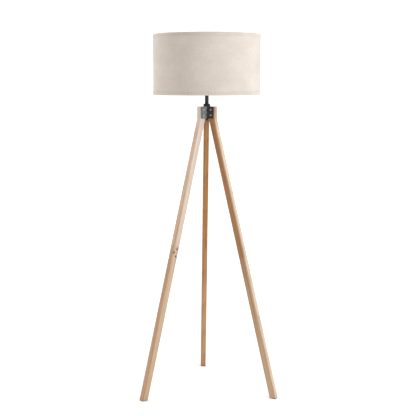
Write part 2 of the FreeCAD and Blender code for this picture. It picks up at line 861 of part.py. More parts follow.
def shade_clamp_ring():
    """The ring that is screwed down the skirt to clamp the shade, with a grip of shallow flutes."""
    bottom = "flange_top + fitter_height"
    top = "flange_top + fitter_height + ring_height"
    bore = "skirt_radius + lamp_clearance"
    rim = "ring_diameter / 2"
    grip = "ring_grip_height + ring_step_rise"
    body = turned("shade_clamp_ring", [
        (bore, bottom),
        (rim, bottom),
        (rim, f"{bottom} + ring_grip_height"),
        (f"{rim} - ring_step", f"{bottom} + {grip}"),
        (f"{rim} - ring_step - ring_taper", top),
        (bore, top),
    ])
    flute = make_sketch(body, "XY_Plane", bottom)
    draw_circle(flute, f"{rim} + ring_grip_radius * ring_grip_share", "0", "ring_grip_radius")
    pocket = add_pocket(body, flute, f"{grip} + cut_margin", "forward")
    pattern = body.newObject("PartDesign::PolarPattern", "flutes")
    pattern.Originals = [pocket]
    pattern.Axis = (origin_item(body, "Z_Axis"), [""])
    pattern.Angle = 360
    pattern.Occurrences = int(value("ring_grip_count"))
    body.Tip = pattern
    doc.recompute()
    return body


# ---- shade ----

def wire_ring(label, height):
    ring = doc.addObject("Part::Torus", label)
    ring.setExpression("Radius1", named("wire_path"))
    ring.setExpression("Radius2", named("wire_radius"))
    ring.Placement = FreeCAD.Placement(Vector(0, 0, value(height)), FreeCAD.Rotation())
    return ring


def spider_arm(azimuth):
    """A straight wire from the fitter ring's rim down to the shade's lower wire ring."""
    height_in = value("flange_top + fitter_height / 2")
    height_out = value("shade_bottom + wire_inset")
    start = Vector(value("fitter_radius - fitter_width / 2"), 0, height_in)
    end = Vector(value("wire_path"), 0, height_out)
    arm = doc.addObject("Part::Cylinder", "spider_arm")
    arm.setExpression("Radius", named("arm_diameter / 2"))
    arm.Height = start.distanceToPoint(end)
    lean = FreeCAD.Placement(start, FreeCAD.Rotation(Z_AXIS, end - start))
    turn = FreeCAD.Placement(Vector(0, 0, 0), FreeCAD.Rotation(Z_AXIS, azimuth))
    arm.Placement = turn.multiply(lean)
    return arm


def shade_spider():
    """The shade's lower frame: a wire ring, three arms and the fitter ring, welded together."""
    lower_ring = wire_ring("spider_wire", "shade_bottom + wire_inset")
    fitter = turned("spider_fitter", ring_outline(
        "fitter_bore", "fitter_radius", "flange_top", "flange_top + fitter_height"))
    arms = [spider_arm(azimuth) for azimuth in LEG_AZIMUTHS.values()]
    welded = doc.addObject("Part::MultiFuse", "spider_welded")
    welded.Shapes = [lower_ring, fitter] + arms
    # The arms are trimmed flush with the fitter ring where the flange and the clamping ring lie.
    inner = "fitter_bore - arm_trim_margin"
    above = turned("spider_trim_above", ring_outline(
        inner, "ring_diameter / 2 + arm_trim_clearance",
        "flange_top + fitter_height", "flange_top + arm_trim_height"))
    below = turned("spider_trim_below", ring_outline(
        inner, "flange_diameter / 2 + arm_trim_clearance",
        "flange_top - arm_trim_height", "flange_top"))
    trim = doc.addObject("Part::Compound", "spider_trim")
    trim.Links = [above, below]
    spider = doc.addObject("Part::Cut", "shade_spider")
    spider.Base = welded
    spider.Tool = trim
    return spider


def shade_liner():
    return turned("shade_liner", ring_outline(
        "liner_inner", "liner_outer", "shade_bottom + hem_gauge", "overall_height - hem_gauge"))


def shade_fabric():
    return turned("shade_fabric", ring_outline(
        "liner_outer", "liner_outer + cloth_gauge",
        "shade_bottom + hem_gauge", "overall_height - hem_gauge"))


def hem_outline(edge, inward):
    """A strip of cloth folded over the shade's edge and tucked under the wire ring.
    inward is the sign of the way from the edge into the shade."""
    def level(depth):
        return f"{edge} {inward} ({depth})"
    cloth_outer = "shade_radius - hem_gauge"
    flap = "liner_inner - hem_gauge"
    return [
        ("shade_radius", level("hem_height")),
        ("shade_radius", level("0")),
        ("hem_inner", level("0")),
        ("hem_inner", level("hem_tuck - hem_gauge")),
        (flap, level("hem_tuck + wire_diameter")),
        (flap, level("hem_height")),
        ("liner_inner", level("hem_height")),
        ("liner_inner", level("hem_tuck + wire_diameter - hem_gauge")),
        ("hem_inner + hem_gauge", level("hem_tuck - hem_gauge")),
        ("hem_inner + hem_gauge", level("hem_gauge")),
        (cloth_outer, level("hem_gauge")),
        (cloth_outer, level("hem_height")),
    ]


def shade_bottom_hem():
    """The lower hem has three notches on its inside, where the spider's arms pass."""
    hem = turned("bottom_hem_blank", hem_outline("shade_bottom", "+"))
    notches = doc.addObject("Part::Compound", "hem_notches")
    notches.Links = [arm_notch(azimuth) for azimuth in LEG_AZIMUTHS.values()]
    cut = doc.addObject("Part::Cut", "shade_bottom_hem")
    cut.Base = hem
    cut.Tool = notches
    return cut


def arm_notch(azimuth):
    notch = doc.addObject("Part::Box", "hem_notch")
    width = "arm_diameter + 2 * notch_clearance"
    notch.setExpression("Length", named("liner_inner - hem_inner + cut_margin"))
    notch.setExpression("Width", named(width))
    notch.setExpression("Height", named("hem_height"))
    corner = Vector(value("hem_inner - cut_margin"), -value(width) / 2,
                    value("shade_bottom + hem_gauge"))
    turn = FreeCAD.Placement(Vector(0, 0, 0), FreeCAD.Rotation(Z_AXIS, azimuth))
    notch.Placement = turn.multiply(FreeCAD.Placement(corner, FreeCAD.Rotation()))
    return notch


# ---- bulb ----

def bulb_glass():
    """A pear-shaped envelope with an even wall, open at the neck inside the cap."""
    radius = "bulb_diameter / 2"
    neck = "bulb_neck_diameter / 2"
    neck_top = "bulb_cap_top + bulb_neck_height"

    def wall(inset):
        ball = f"({radius} - {inset})"
        foot = (f"{ball} * cos({BALL_END})", f"bulb_centre - {ball} * sin({BALL_END})")
        return foot, (ball, "bulb_centre"), ("0", f"bulb_centre + {ball}")

    outer_foot, outer_side, outer_top = wall("0")
    inner_foot, inner_side, inner_top = wall("bulb_wall")
    return turned("bulb_glass", [
        ("bulb_cap_inner - bulb_wall", "bulb_cap_top - bulb_neck_tuck"),
        ("bulb_cap_inner", "bulb_cap_top - bulb_neck_tuck"),
        ("bulb_cap_inner", "bulb_cap_top"),
        (neck, "bulb_cap_top + bulb_neck_bevel"),
        (neck, neck_top),
        (*outer_foot, outer_side),
        outer_top,
        (*inner_top, inner_side),
        inner_foot,
        (f"{neck} - bulb_wall", neck_top),
        (f"{neck} - bulb_wall", "bulb_cap_top + 2 * bulb_neck_bevel"),
        ("bulb_cap_inner - bulb_wall", "bulb_cap_top + bulb_neck_bevel"),
    ])


def bulb_cap():
    return threaded_shell(
        "bulb_cap", "lamp_thread_radius", "bulb_cap_gauge", "bulb_cap_bottom", "bulb_cap_top")


def bulb_insulator():
    return turned("bulb_insulator", [
        ("0", "bulb_tip + bulb_tip_height"),
        ("bulb_tip_diameter / 2", "bulb_tip + bulb_tip_height"),
        ("lamp_thread_radius - lamp_thread_depth", "bulb_cap_bottom"),
        ("0", "bulb_cap_bottom"),
    ])


def bulb_contact():
    return turned("bulb_contact", [
        ("0", "bulb_tip"),
        ("bulb_tip_diameter / 2 - bulb_tip_bevel", "bulb_tip"),
        ("bulb_tip_diameter / 2", "bulb_tip + bulb_tip_height"),
        ("0", "bulb_tip + bulb_tip_height"),
    ])


# ---- the lamp ----

def build_lamp():
    pieces = []
    for side, azimuth in LEG_AZIMUTHS.items():
        for make in (upper_leg, lower_leg, foot_pad, lap_screws, lap_inserts,
                     bracket_screws, sleeve_nuts):
            pieces.append(make(side, azimuth))
    plates = [bracket_plate(side, azimuth) for side, azimuth in PLATE_AZIMUTHS.items()]
    pieces += plates
    pieces.append(hub_tube(plates))
    pieces += [pole_collar(), pole(), hub_nipple(), hub_washer(), hub_nut(), cord_bush()]
    pieces += [holder_nipple(), holder_cap(), holder_base(), holder_terminals(), screw_shell(),
               centre_contact(), holder_skirt(), shade_clamp_ring()]
    top_hem = turned("shade_top_hem", hem_outline("overall_height", "-"))
    pieces += [shade_spider(), wire_ring("shade_top_ring", "overall_height - wire_inset"),
               shade_liner(), shade_fabric(), top_hem, shade_bottom_hem()]
    pieces += [bulb_glass(), bulb_cap(), bulb_insulator(), bulb_contact()]
    doc.recompute()
    return pieces


def check_document(pieces):
    for item in doc.Objects:
        if "Invalid" in item.State or "Error" in item.State:
            raise RuntimeError(f"{item.Name} failed: {item.State}")
    for piece in pieces:
        if piece.Shape.isNull() or not piece.Shape.isValid():
            raise RuntimeError(f"{piece.Label} has no valid shape")
        if not piece.Shape.Solids:
            raise RuntimeError(f"{piece.Label} has no solid")


def write_parts(pieces):
    os.makedirs("parts", exist_ok=True)
    for piece in pieces:
        piece.Shape.exportStep(f"parts/{piece.Label}.step")


lamp = build_lamp()
check_document(lamp)
write_parts(lamp)
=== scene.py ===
import math

import bmesh
import bpy
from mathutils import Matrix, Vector


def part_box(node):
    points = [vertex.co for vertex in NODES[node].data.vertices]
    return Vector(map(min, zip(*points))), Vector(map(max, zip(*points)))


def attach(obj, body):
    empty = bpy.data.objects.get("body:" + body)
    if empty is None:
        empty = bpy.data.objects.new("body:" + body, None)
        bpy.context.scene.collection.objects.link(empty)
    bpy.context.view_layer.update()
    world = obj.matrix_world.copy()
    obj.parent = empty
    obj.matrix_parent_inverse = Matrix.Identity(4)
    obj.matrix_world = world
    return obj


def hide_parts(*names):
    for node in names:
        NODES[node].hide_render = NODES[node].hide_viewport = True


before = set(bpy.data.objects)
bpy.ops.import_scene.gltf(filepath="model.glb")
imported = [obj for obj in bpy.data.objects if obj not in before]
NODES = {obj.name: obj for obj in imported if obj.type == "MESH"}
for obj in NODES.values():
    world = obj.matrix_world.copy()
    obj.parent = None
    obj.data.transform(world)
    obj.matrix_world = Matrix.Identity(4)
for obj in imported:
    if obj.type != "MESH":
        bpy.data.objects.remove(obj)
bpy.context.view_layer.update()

# Looks for the tripod floor lamp: metres, +Z up, the floor at z = 0, the lamp's axis on +Z.
LEG_AZIMUTHS = {"back": 90, "left": 210, "right": 330}


def low(node):
    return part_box(node)[0]


def high(node):
    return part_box(node)[1]


SHADE_RADIUS = high("shade_top_hem")[0]
SHADE_TOP = high("shade_top_hem")[2]
SHADE_BOTTOM = low("shade_bottom_hem")[2]
HEM_HEIGHT = high("shade_bottom_hem")[2] - SHADE_BOTTOM
CLOTH_RADIUS = high("shade_fabric")[0]
LINER_RADIUS = high("shade_liner")[0]
BRACKET_BOTTOM = low("bracket_plate_front")[2]
# The back leg leans in the YZ plane, so its box gives every leg's slope. The leg's head reaches
# this far past the screws that hold it.
HEAD_PAST_SCREWS = 0.012
LEG_BLOCK_OUTER = high("bracket_screws_back")[1] + HEAD_PAST_SCREWS
FOOT_OUTER = high("lower_leg_back")[1]
LEG_LEAN = math.atan2(FOOT_OUTER - LEG_BLOCK_OUTER, BRACKET_BOTTOM)
LEG_OUTER_FACE = FOOT_OUTER * math.cos(LEG_LEAN)


# ---- shader helpers ----

class Shader:
    """A material's node tree, built by short calls that return output sockets."""

    def __init__(self, name):
        self.material = bpy.data.materials.new(name)
        self.material.use_nodes = True
        self.tree = self.material.node_tree
        self.tree.nodes.clear()
        self.output = self.tree.nodes.new("ShaderNodeOutputMaterial")

    def node(self, kind, inputs=None, **settings):
        made = self.tree.nodes.new(kind)
        for name, setting in settings.items():
            setattr(made, name, setting)
        for name, source in (inputs or {}).items():
            self.feed(made.inputs[name], source)
        return made

    def feed(self, socket, source):
        if isinstance(source, bpy.types.NodeSocket):
            self.tree.links.new(source, socket)
        else:
            socket.default_value = source

    def place(self):
        """The point's place on the object, which is its place in the lamp's frame at rest."""
        return self.node("ShaderNodeTexCoord").outputs["Object"]

    def math(self, operation, first, second=0.0, third=0.0, clamp=False):
        made = self.node("ShaderNodeMath", operation=operation, use_clamp=clamp)
        for socket, source in zip(made.inputs, (first, second, third)):
            self.feed(socket, source)
        return made.outputs[0]

    def stretched(self, place, scale, offset=(0, 0, 0)):
        mapping = self.node("ShaderNodeMapping", {"Vector": place})
        mapping.inputs["Scale"].default_value = scale
        mapping.inputs["Location"].default_value = offset
        return mapping.outputs[0]

    def turned(self, place, axis, degrees):
        turn = self.node("ShaderNodeVectorRotate", {"Vector": place}, rotation_type="AXIS_ANGLE")
        turn.inputs["Axis"].default_value = axis
        turn.inputs["Angle"].default_value = math.radians(degrees)
        return turn.outputs[0]

    def noise(self, place, scale, detail=3.0, roughness=0.55, distortion=0.0):
        made = self.node("ShaderNodeTexNoise", {"Vector": place, "Scale": scale, "Detail": detail,
                                                "Roughness": roughness, "Distortion": distortion})
        return made.outputs["Fac"]

    def ramp(self, factor, *stops):
        """A colour ramp from (position, colour) stops."""
        made = self.node("ShaderNodeValToRGB", {"Fac": factor})
        points = made.color_ramp.elements
        while len(points) < len(stops):
            points.new(0.5)
        for point, (position, level) in zip(points, stops):
            point.position = position
            point.color = (*level, 1)
        return made.outputs["Color"]

    def spread(self, factor, low_end, high_end, low_out=0.0, high_out=1.0):
        made = self.node("ShaderNodeMapRange", {"Value": factor, "From Min": low_end,
                                                "From Max": high_end, "To Min": low_out,
                                                "To Max": high_out})
        return made.outputs["Result"]

    def mix(self, factor, first, second, blend="MIX"):
        made = self.node("ShaderNodeMix", data_type="RGBA", blend_type=blend)
        self.feed(made.inputs["Factor"], factor)
        self.feed(made.inputs[6], first)
        self.feed(made.inputs[7], second)
        return made.outputs[2]

    def bump(self, height, distance, strength=1.0, under=None):
        made = self.node("ShaderNodeBump", {"Height": height, "Distance": distance,
                                            "Strength": strength})
        if under is not None:
            self.feed(made.inputs["Normal"], under)
        return made.outputs["Normal"]

    def principled(self, **inputs):
        made = self.node("ShaderNodeBsdfPrincipled")
        for name, source in inputs.items():
            self.feed(made.inputs[name.replace("_", " ")], source)
        return made.outputs["BSDF"]

    def finish(self, surface):
        self.tree.links.new(surface, self.output.inputs["Surface"])
        return self.material


def srgb(red, green, blue):
    """Linear colour from the 0 to 255 values of a display colour."""
    def linear(level):
        share = level / 255
        return share / 12.92 if share <= 0.04045 else ((share + 0.055) / 1.055) ** 2.4
    return (linear(red), linear(green), linear(blue))


def colour(*levels):
    return (*srgb(*levels), 1)


# ---- materials ----

SAPWOOD = (0.54, 0.42, 0.34), (0.71, 0.60, 0.545), (0.81, 0.725, 0.68)
HEARTWOOD = (0.29, 0.120, 0.034), (0.41, 0.190, 0.060), (0.51, 0.270, 0.100)
STREAK_STOPS = 0.34, 0.51, 0.69
LATE_WOOD = (0.44, 0.30, 0.19, 1), (0.21, 0.080, 0.022, 1)
TINGE = (0.60, 0.44, 0.32, 1), (0.36, 0.150, 0.045, 1)
AMBER = (0.98, 0.93, 0.68, 1)
AMBER_SHARE = 2.4
RING_WIDTH = 0.0042
# How deep the band under a leg's outer face reaches, which carries painted light and shade, and
# the height below the bracket over which that band fades.
PAINTED_FACE_BAND_INSIDE = 0.0045
PAINTED_FACE_BAND_OUTSIDE = 0.0005
PAINTED_FACE_BAND_FADE = 0.05


def wood(name, azimuth, lean, seed, tones, painted_face_tone, ends):
    """Lacquered hardwood. Growth rings are wide arcs about a pith beside the bar, so the long
    faces show streaks and flames and the cut ends show the rings themselves. A tone runs from
    pale sapwood (0) to red-brown heartwood (1). tones are the tones at the bar's lower and upper
    end and ends are the heights of those ends; these tones are partly the bar's own and partly
    painted light and shade. The outer-face tone given after tones is the tone of the last few
    millimetres below the bar's outer face, and it is painted light and shade: that face is made
    lighter or darker for how light falls on it."""
    shader = Shader(name)
    upright = shader.place()
    height = shader.node("ShaderNodeSeparateXYZ", {"Vector": upright}).outputs["Z"]
    along = shader.turned(shader.turned(upright, (0, 0, 1), -azimuth), (0, 1, 0), lean)
    outward = shader.node("ShaderNodeSeparateXYZ", {"Vector": along}).outputs["X"]
    swaying = shader.stretched(along, (7, 7, 0.9), (seed, 2 * seed, 0.7 * seed))
    sway = shader.noise(swaying, 1.0, 2.0)
    pith = shader.stretched(along, (1, 1, 0.028), (0.05 + 0.013 * seed, 0.034, 0.11 * seed))
    reach = shader.node("ShaderNodeVectorMath", {0: pith}, operation="LENGTH").outputs["Value"]
    reach = shader.math("MULTIPLY_ADD", sway, 0.012, reach)
    rings = shader.math("FRACT", shader.math("MULTIPLY", reach, 1 / RING_WIDTH))
    late = shader.math("POWER", rings, 3.0)
    fibres = shader.noise(shader.stretched(along, (900, 900, 16), (seed, 0, 0)), 1.0, 3.0, 0.6)
    streaks = shader.noise(shader.stretched(along, (150, 150, 2.4), (0, seed, 0)), 1.0, 4.0, 0.62)
    patches = shader.noise(shader.stretched(along, (14, 14, 2.4), (0, 0, seed)), 1.0, 2.0)
    tone = shader.spread(height, ends[0], ends[1], tones[0], tones[1])
    # Painted light and shade: a band a few millimetres deep under the leg's outer face takes the
    # outer-face tone, lighter or darker for how light falls on that face. Over the last 5 cm below
    # the bracket the band fades to a fifth, and it stays at a fifth above the bracket's bottom.
    edge = shader.math("MULTIPLY_ADD", sway, 0.004, outward)
    painted_face_band = shader.spread(edge, LEG_OUTER_FACE - PAINTED_FACE_BAND_INSIDE,
                         LEG_OUTER_FACE - PAINTED_FACE_BAND_OUTSIDE)
    painted_face_fade = shader.spread(height, BRACKET_BOTTOM - PAINTED_FACE_BAND_FADE, BRACKET_BOTTOM, 1.0, 0.2)
    painted_face_band = shader.math("MULTIPLY", painted_face_band, painted_face_fade)
    tone = shader.math("MULTIPLY_ADD", painted_face_band, shader.math("SUBTRACT", painted_face_tone, tone), tone)
    sapwood = shader.ramp(streaks, *zip(STREAK_STOPS, SAPWOOD))
    heartwood = shader.ramp(streaks, *zip(STREAK_STOPS, HEARTWOOD))
    base = shader.mix(tone, sapwood, heartwood)
    amber = shader.math("MULTIPLY", tone,
                        shader.math("MULTIPLY_ADD", tone, -AMBER_SHARE, AMBER_SHARE))
    base = shader.mix(amber, base, AMBER, "MULTIPLY")
    late_wood = shader.mix(tone, *LATE_WOOD)
    base = shader.mix(shader.math("MULTIPLY", late, 0.40), base, late_wood)
    tinge = shader.mix(tone, *TINGE)
    base = shader.mix(shader.spread(patches, 0.35, 0.7, 0.0, 0.25), base, tinge)
    pores = shader.spread(fibres, 0.62, 0.74, 0.0, 0.38)
    base = shader.mix(pores, base, colour(104, 70, 44))
    rough = shader.spread(fibres, 0.3, 0.75, 0.40, 0.58)
    grain = shader.math("SUBTRACT", shader.math("MULTIPLY", late, 0.35), pores)
    bumped = shader.bump(grain, 0.0002, 0.35)
    surface = shader.principled(Base_Color=base, Roughness=rough, Normal=bumped,
                                Coat_Weight=0.5, Coat_Roughness=0.34, IOR=1.45,
                                Specular_IOR_Level=0.25)
    return shader.finish(surface)


def satin_black(name, level=6, roughness=0.28, coat=0.3, grain=0.00004):
    """Powder coat: fine orange peel, a little dust-grey in soft random patches."""
    shader = Shader(name)
    place = shader.place()
    peel = shader.noise(place, 700.0, 3.0, 0.6)
    cloud = shader.noise(place, 38.0, 4.0, 0.6)
    base = shader.ramp(cloud, (0.3, srgb(level, level, level + 1)),
                       (0.8, srgb(level + 9, level + 9, level + 10)))
    rough = shader.spread(cloud, 0.3, 0.7, roughness - 0.05, roughness + 0.08)
    surface = shader.principled(Base_Color=base, Roughness=rough, Coat_Weight=coat,
                                Coat_Roughness=0.30, Normal=shader.bump(peel, grain, 0.6))
    return shader.finish(surface)


def metal(name, shade, roughness, scratch_scale=(60, 900, 900)):
    """Plain metal with fine tool marks and slightly uneven dulling."""
    shader = Shader(name)
    place = shader.place()
    marks = shader.noise(shader.stretched(place, scratch_scale), 1.0, 4.0, 0.6)
    dulling = shader.noise(place, 160.0, 4.0, 0.6)
    dark = tuple(channel * 0.62 for channel in shade)
    base = shader.ramp(dulling, (0.3, dark), (0.65, shade))
    rough = shader.spread(marks, 0.25, 0.75, roughness - 0.08, roughness + 0.12)
    surface = shader.principled(Base_Color=base, Metallic=1.0, Roughness=rough,
                                Normal=shader.bump(marks, 0.00003, 0.5))
    return shader.finish(surface)


def moulded(name, shade, roughness=0.4, speckle=0.00004):
    """Moulded plastic or glaze: an even colour with a faint fine texture and soft mottling."""
    shader = Shader(name)
    place = shader.place()
    fine = shader.noise(place, 1100.0, 2.0)
    cloud = shader.noise(place, 60.0, 3.0)
    lighter = tuple(min(1.0, channel * 1.18 + 0.004) for channel in shade)
    base = shader.ramp(cloud, (0.3, shade), (0.75, lighter))
    rough = shader.spread(cloud, 0.3, 0.7, roughness - 0.04, roughness + 0.06)
    surface = shader.principled(Base_Color=base, Roughness=rough,
                                Normal=shader.bump(fine, speckle, 0.5))
    return shader.finish(surface)


def felt(name):
    """Brown pressed felt: tangled short fibres and a furred surface."""
    shader = Shader(name)
    place = shader.place()
    tangle = shader.noise(place, 1400.0, 5.0, 0.75, 1.2)
    tufts = shader.noise(place, 320.0, 4.0, 0.65)
    base = shader.ramp(tangle, (0.3, srgb(52, 33, 22)), (0.55, srgb(82, 55, 38)),
                       (0.8, srgb(118, 86, 62)))
    surface = shader.principled(Base_Color=base, Roughness=1.0, Sheen_Weight=0.12,
                                Sheen_Roughness=0.6, Specular_IOR_Level=0.2,
                                Normal=shader.bump(shader.math("ADD", tangle, tufts), 0.0006))
    return shader.finish(surface)


def around_and_up(shader):
    """Distances in metres around the lamp's axis, on the shade's skin, and up."""
    split = shader.node("ShaderNodeSeparateXYZ", {"Vector": shader.place()})
    angle = shader.math("ARCTAN2", split.outputs["Y"], split.outputs["X"])
    around = shader.math("MULTIPLY", angle, CLOTH_RADIUS)
    return around, split.outputs["Z"]


def threads(shader, distance, pitch, waver):
    """Rounded threads side by side: 1 on a thread's crown and 0 between two threads."""
    phase = shader.math("MULTIPLY_ADD", waver, 0.7, shader.math("MULTIPLY", distance, 1 / pitch))
    return shader.math("ABSOLUTE", shader.math("SINE", shader.math("MULTIPLY", phase, math.pi)))


WARP_PITCH = 0.00085
WEFT_PITCH = 0.00095


def woven(name, light, dark, translucency):
    """Plain-woven linen-like cloth: single threads, slubs that run along them, and a slow change
    of tone over the bolt."""
    shader = Shader(name)
    around, up = around_and_up(shader)
    flat = shader.node("ShaderNodeCombineXYZ", {"X": around, "Y": up}).outputs["Vector"]
    waver = shader.noise(shader.stretched(flat, (60, 60, 60)), 1.0, 2.0)
    warp = threads(shader, around, WARP_PITCH, waver)
    weft = threads(shader, up, WEFT_PITCH, waver)
    slub_across = shader.noise(shader.stretched(flat, (28, 900, 1)), 1.0, 3.0, 0.6)
    slub_up = shader.noise(shader.stretched(flat, (1000, 30, 1)), 1.0, 3.0, 0.6)
    thick_across = shader.spread(slub_across, 0.45, 0.78)
    thick_up = shader.spread(slub_up, 0.45, 0.78)
    weave = shader.math("MAXIMUM", shader.math("MULTIPLY", warp, 0.9), weft)
    slubs = shader.math("MAXIMUM", thick_across, thick_up)
    cloud = shader.noise(shader.stretched(flat, (9, 14, 1)), 1.0, 3.0)
    shade = shader.math("MULTIPLY_ADD", weave, 0.30,
                        shader.math("MULTIPLY_ADD", slubs, 0.34,
                                    shader.math("MULTIPLY", cloud, 0.36)))
    base = shader.ramp(shade, (0.12, srgb(*dark)), (0.72, srgb(*light)))
    height = shader.math("MULTIPLY_ADD", slubs, 0.8, weave)
    bumped = shader.bump(height, 0.00022, 0.6)
    front = shader.principled(Base_Color=base, Roughness=0.92, Sheen_Weight=0.6,
                              Sheen_Roughness=0.5, Specular_IOR_Level=0.25, Normal=bumped)
    through = shader.node("ShaderNodeBsdfTranslucent", {"Color": base, "Normal": bumped})
    blend = shader.node("ShaderNodeMixShader", {"Fac": translucency})
    shader.tree.links.new(front, blend.inputs[1])
    shader.tree.links.new(through.outputs[0], blend.inputs[2])
    return shader.finish(blend.outputs[0])


def styrene(name):
    """The stiff white sheet inside the shade, faintly mottled by the glue behind it."""
    shader = Shader(name)
    around, up = around_and_up(shader)
    flat = shader.node("ShaderNodeCombineXYZ", {"X": around, "Y": up}).outputs["Vector"]
    glue = shader.noise(shader.stretched(flat, (40, 40, 1)), 1.0, 4.0, 0.6)
    print_through = shader.noise(shader.stretched(flat, (500, 500, 1)), 1.0, 2.0)
    base = shader.ramp(glue, (0.3, srgb(233, 228, 220)), (0.7, srgb(241, 238, 232)))
    bumped = shader.bump(print_through, 0.00008, 0.4)
    front = shader.principled(Base_Color=base, Roughness=0.42, Normal=bumped)
    through = shader.node("ShaderNodeBsdfTranslucent", {"Color": base})
    blend = shader.node("ShaderNodeMixShader", {"Fac": 0.3})
    shader.tree.links.new(front, blend.inputs[1])
    shader.tree.links.new(through.outputs[0], blend.inputs[2])
    return shader.finish(blend.outputs[0])


def opal_glass(name):
    """White opal glass: light scatters inside it, and the outside is glossy."""
    shader = Shader(name)
    swirl = shader.noise(shader.place(), 45.0, 3.0)
    base = shader.ramp(swirl, (0.3, srgb(244, 242, 236)), (0.7, srgb(251, 250, 246)))
    front = shader.principled(Base_Color=base, Roughness=0.12, Coat_Weight=0.5,
                              Coat_Roughness=0.05)
    through = shader.node("ShaderNodeBsdfTranslucent", {"Color": base})
    blend = shader.node("ShaderNodeMixShader", {"Fac": 0.2})
    shader.tree.links.new(front, blend.inputs[1])
    shader.tree.links.new(through.outputs[0], blend.inputs[2])
    return shader.finish(blend.outputs[0])


# ---- mesh helpers ----

def mesh_object(name, build):
    """An object whose mesh is filled by build(bmesh)."""
    shape = bmesh.new()
    build(shape)
    bmesh.ops.recalc_face_normals(shape, faces=shape.faces)
    mesh = bpy.data.meshes.new(name)
    shape.to_mesh(mesh)
    shape.free()
    made = bpy.data.objects.new(name, mesh)
    bpy.context.scene.collection.objects.link(made)
    return made


def smooth(thing):
    for face in thing.data.polygons:
        face.use_smooth = True


def sweep_around(shape, section, steps):
    """Turn a closed section of (radius, height) points about the lamp's axis. section(angle)
    gives the points, so the section may vary on its way round."""
    rings = []
    for step in range(steps):
        angle = 2 * math.pi * step / steps
        rings.append([shape.verts.new((radius * math.cos(angle), radius * math.sin(angle), height))
                      for radius, height in section(angle)])
    for step in range(steps):
        this, following = rings[step], rings[(step + 1) % steps]
        for number in range(len(this)):
            beside = (number + 1) % len(this)
            shape.faces.new((this[number], following[number], following[beside], this[beside]))


def set_material(thing, material):
    thing.data.materials.clear()
    thing.data.materials.append(material)


# ---- the shade ----

CLOTH_STEPS = 288
CLOTH_LEVELS = 28
SEAM_ANGLE = math.radians(90)
SEAM_WIDTH = 0.012
SEAM_RISE = 0.0004
GLUE_GAP = 0.0001
CLOTH_RIPPLE = 0.00008


def wander(angle, height, seed):
    """A slow, smooth unevenness between -1 and 1 that closes on itself around the shade."""
    return (0.5 * math.sin(3 * angle + seed) + 0.3 * math.sin(7 * angle - 2.1 * seed + 9 * height)
            + 0.2 * math.sin(13 * angle + 1.7 * seed - 23 * height))


def shade_cloth():
    """The cloth skin, laminated to the liner, with its overlapped seam at the back."""
    bottom = low("shade_fabric")[2]
    top = high("shade_fabric")[2]
    inside = LINER_RADIUS + GLUE_GAP

    def section(angle):
        from_seam = (angle - SEAM_ANGLE + math.pi) % (2 * math.pi) - math.pi
        overlap = SEAM_RISE * max(0.0, 1 - (abs(from_seam) * CLOTH_RADIUS / SEAM_WIDTH * 2) ** 6)
        heights = [bottom + (top - bottom) * level / CLOTH_LEVELS
                   for level in range(CLOTH_LEVELS + 1)]
        outer = [(CLOTH_RADIUS - GLUE_GAP + overlap + CLOTH_RIPPLE * wander(angle, height, 1.0),
                  height) for height in heights]
        inner = [(inside, height) for height in reversed(heights)]
        return outer + inner

    cloth = mesh_object("shade_cloth", lambda shape: sweep_around(shape, section, CLOTH_STEPS))
    smooth(cloth)
    set_material(cloth, woven("shade_cloth_linen", (241, 230, 221), (203, 189, 177), 0.18))
    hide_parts("shade_fabric")
    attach(cloth, "shade")
    return cloth


HEM_ROLL_STEPS = 8
HEM_ROLL_RISE = 0.0022
HEM_CLOTH = 0.0012
HEM_DRIFT = 0.0004
HEM_PUFF = 0.00025
HEM_PAST_WIRE = 0.0054
INNER_FLAP_SHARE = 0.62


def hem(name, node, edge, inward, seed):
    """The cloth strip rolled over the wire ring: a rounded edge, a flap outside that is turned
    under and stands slightly proud, and a flap inside that is tucked under the wire."""
    outside = SHADE_RADIUS
    cloth_face = CLOTH_RADIUS
    wire_side = LINER_RADIUS - HEM_PAST_WIRE

    def section(angle):
        drift = HEM_DRIFT * wander(angle, 0, seed)
        puff = HEM_PUFF * wander(2 * angle, 0, seed + 2)
        end = edge + inward * (HEM_HEIGHT + drift)
        points = []
        for share in range(HEM_ROLL_STEPS + 1):
            turn = math.pi * share / HEM_ROLL_STEPS
            middle = (outside + wire_side) / 2
            half = (outside - wire_side) / 2
            points.append((middle + half * math.cos(turn),
                           edge + inward * HEM_ROLL_RISE * (1 - math.sin(turn))))
        inner_depth = HEM_HEIGHT * INNER_FLAP_SHARE
        points.append((wire_side, edge + inward * 0.0048))
        points.append((LINER_RADIUS - 0.0016, edge + inward * 0.0088))
        points.append((LINER_RADIUS - 0.0014, edge + inward * inner_depth))
        points.append((LINER_RADIUS - 0.0009, edge + inward * inner_depth))
        points.append((LINER_RADIUS - 0.0009, edge + inward * 0.0082))
        points.append((wire_side + 0.0006, edge + inward * 0.0044))
        points.append((wire_side + 0.0008, edge + inward * HEM_CLOTH))
        points.append((cloth_face, edge + inward * HEM_CLOTH))
        points.append((cloth_face, end))
        points.append((cloth_face + 0.0004, end + inward * 0.0003))
        points.append((outside + puff * 0.6, end - inward * 0.0004))
        points.append((outside - 0.0001 + puff, end - inward * 0.0030))
        points.append((outside - 0.0003 + puff * 0.5, edge + inward * 0.0060))
        return points

    band = mesh_object(name, lambda shape: sweep_around(shape, section, CLOTH_STEPS))
    smooth(band)
    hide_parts(node)
    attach(band, "shade")
    return band


